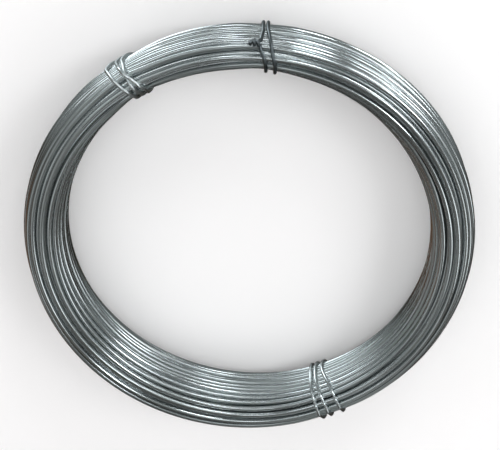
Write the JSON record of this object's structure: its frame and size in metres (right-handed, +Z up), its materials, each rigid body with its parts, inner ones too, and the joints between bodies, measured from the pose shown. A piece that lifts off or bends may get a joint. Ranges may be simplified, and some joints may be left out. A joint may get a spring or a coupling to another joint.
{
  "type": "coil of galvanized wire",
  "caption": "Round coil of plain galvanized steel wire, its turns drawn together into a ring-shaped bundle by twisted tie wires, lying flat with an open eye.",
  "frame": {"origin": "on the coil's axis, at the level that the coil lies on", "axes": "+Z up along the coil's axis; -Y towards the front tie, +X towards the front right tie's side"},
  "size_m": [0.275, 0.2772, 0.0498],
  "materials": {
    "galvanized_wire": "hot-dip galvanized, semi-gloss with dull patches",
    "bright_tie_wire": "galvanized, semi-gloss",
    "dark_tie_wire": "annealed, dull dark grey"
  },
  "bodies": {
    "root": {"wire_coil": "galvanized_wire", "tie_front": "dark_tie_wire", "tie_front_right": "bright_tie_wire", "tie_back_left": "bright_tie_wire"}
  },
  "joints": []
}
